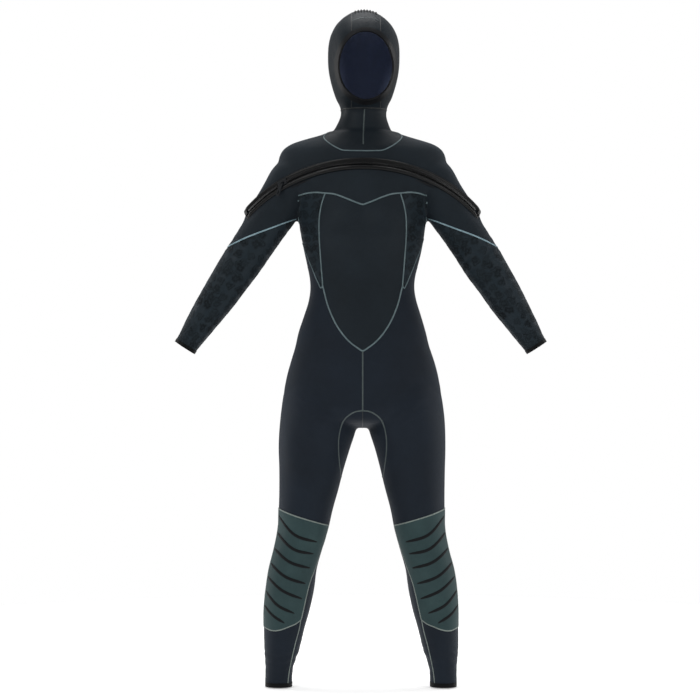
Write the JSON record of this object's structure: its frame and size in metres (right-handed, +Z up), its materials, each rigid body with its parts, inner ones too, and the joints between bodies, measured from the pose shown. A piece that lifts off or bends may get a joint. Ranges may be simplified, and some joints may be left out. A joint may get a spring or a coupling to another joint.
{
  "type": "full wetsuit",
  "caption": "Hooded full wetsuit with a zip across the shoulders, shaped chest panels, padded ribbed knees, sealed wrists and ankles, and limbs that bend at hips, knees and elbows.",
  "frame": {"origin": "on the level of the ankle hems, midway between the legs", "axes": "+Z up along the body, -Y the way the front faces, +X towards the suit's left arm"},
  "size_m": [0.8886, 0.2684, 1.612],
  "materials": {
    "smooth_neoprene": "glossy smooth skin",
    "nylon_neoprene": "matt knitted nylon over neoprene",
    "embossed_neoprene": "embossed velvet knit",
    "pad_rubber": "printed rubberised knee neoprene",
    "rib_print": "matt raised rubber print",
    "seal_neoprene": "smooth inner seal neoprene",
    "zip_tape": "woven coated tape",
    "zip_teeth": "moulded acetal",
    "zip_metal": "moulded acetal slider"
  },
  "bodies": {
    "torso": {"yoke_front": "nylon_neoprene", "yoke_back": "nylon_neoprene", "chest_upper": "nylon_neoprene", "bodice_centre": "nylon_neoprene", "back_upper": "nylon_neoprene", "back_lumbar": "nylon_neoprene", "seat": "nylon_neoprene", "gusset": "nylon_neoprene", "collar": "nylon_neoprene", "neck_seal": "seal_neoprene", "zip_tape_upper": "zip_tape", "zip_tape_lower": "zip_tape", "zip_underlap": "seal_neoprene", "zip_teeth_upper": "zip_teeth", "zip_teeth_lower": "zip_teeth", "zip_stop_left": "zip_metal", "zip_stop_right": "zip_metal", "side_chest_left": "embossed_neoprene", "front_side_left": "nylon_neoprene", "upper_sleeve_left": "nylon_neoprene", "elbow_left": "nylon_neoprene", "thigh_top_left": "nylon_neoprene", "side_chest_right": "embossed_neoprene", "front_side_right": "nylon_neoprene", "upper_sleeve_right": "nylon_neoprene", "elbow_right": "nylon_neoprene", "thigh_top_right": "nylon_neoprene"},
    "hood": {"hood_left": "nylon_neoprene", "hood_right": "nylon_neoprene", "hood_crown": "nylon_neoprene", "hood_chin": "nylon_neoprene", "face_rim": "smooth_neoprene", "crown_ribs": "rib_print"},
    "slider": {"zip_slider": "zip_metal"},
    "pull": {"zip_pull": "zip_metal"},
    "forearm_left": {"forearm_left": "embossed_neoprene", "wrist_cuff_left": "rib_print", "wrist_seal_left": "seal_neoprene"},
    "thigh_left": {"thigh_front_left": "nylon_neoprene", "thigh_back_left": "nylon_neoprene", "knee_pad_left": "pad_rubber", "knee_ribs_left": "rib_print", "knee_back_left": "nylon_neoprene"},
    "shin_left": {"calf_left": "nylon_neoprene", "ankle_cuff_left": "rib_print", "ankle_seal_left": "seal_neoprene"},
    "forearm_right": {"forearm_right": "embossed_neoprene", "wrist_cuff_right": "rib_print", "wrist_seal_right": "seal_neoprene"},
    "thigh_right": {"thigh_front_right": "nylon_neoprene", "thigh_back_right": "nylon_neoprene", "knee_pad_right": "pad_rubber", "knee_ribs_right": "rib_print", "knee_back_right": "nylon_neoprene"},
    "shin_right": {"calf_right": "nylon_neoprene", "ankle_cuff_right": "rib_print", "ankle_seal_right": "seal_neoprene"}
  },
  "joints": [
    {"name": "hood_nod", "type": "hinge", "parent": "torso", "child": "hood", "pos_m": [0, 0.015, 1.345], "axis": [1, 0, 0], "range_deg": [-25, 30], "stiffness_Nm_per_rad": 4, "deforming": ["collar", "neck_seal"]},
    {"name": "elbow_left", "type": "hinge", "parent": "torso", "child": "forearm_left", "pos_m": [0.28347, 0, 1.01743], "axis": [-0.8377, 0, -0.5461], "range_deg": [0, 90], "stiffness_Nm_per_rad": 0.6, "deforming": ["elbow_left"]},
    {"name": "hip_left", "type": "hinge", "parent": "torso", "child": "thigh_left", "pos_m": [0.098, 0.012, 0.7], "axis": [-1, 0, 0], "range_deg": [-10, 70], "stiffness_Nm_per_rad": 4, "deforming": ["thigh_top_left"]},
    {"name": "knee_left", "type": "hinge", "parent": "thigh_left", "child": "shin_left", "pos_m": [0.16, 0.01, 0.282], "axis": [1, 0, 0], "range_deg": [0, 90], "stiffness_Nm_per_rad": 2, "deforming": ["knee_pad_left", "knee_ribs_left", "knee_back_left"]},
    {"name": "elbow_right", "type": "hinge", "parent": "torso", "child": "forearm_right", "pos_m": [-0.28347, 0, 1.01743], "axis": [-0.8377, 0, 0.5461], "range_deg": [0, 90], "stiffness_Nm_per_rad": 0.6, "deforming": ["elbow_right"]},
    {"name": "hip_right", "type": "hinge", "parent": "torso", "child": "thigh_right", "pos_m": [-0.098, 0.012, 0.7], "axis": [-1, 0, 0], "range_deg": [-10, 70], "stiffness_Nm_per_rad": 4, "deforming": ["thigh_top_right"]},
    {"name": "knee_right", "type": "hinge", "parent": "thigh_right", "child": "shin_right", "pos_m": [-0.16, 0.01, 0.282], "axis": [1, 0, 0], "range_deg": [0, 90], "stiffness_Nm_per_rad": 2, "deforming": ["knee_pad_right", "knee_ribs_right", "knee_back_right"]},
    {"name": "zip_slide", "type": "hinge", "parent": "torso", "child": "slider", "pos_m": [0, 0.096, 0.955], "axis": [0, 0.831, 0.5563], "range_deg": [-16.5, 82.5]},
    {"name": "pull_swing", "type": "hinge", "parent": "slider", "child": "pull", "pos_m": [-0.18992, -0.06834, 1.19692], "axis": [-0.505, -0.7439, 0.4378], "range_deg": [-60, 60]}
  ]
}
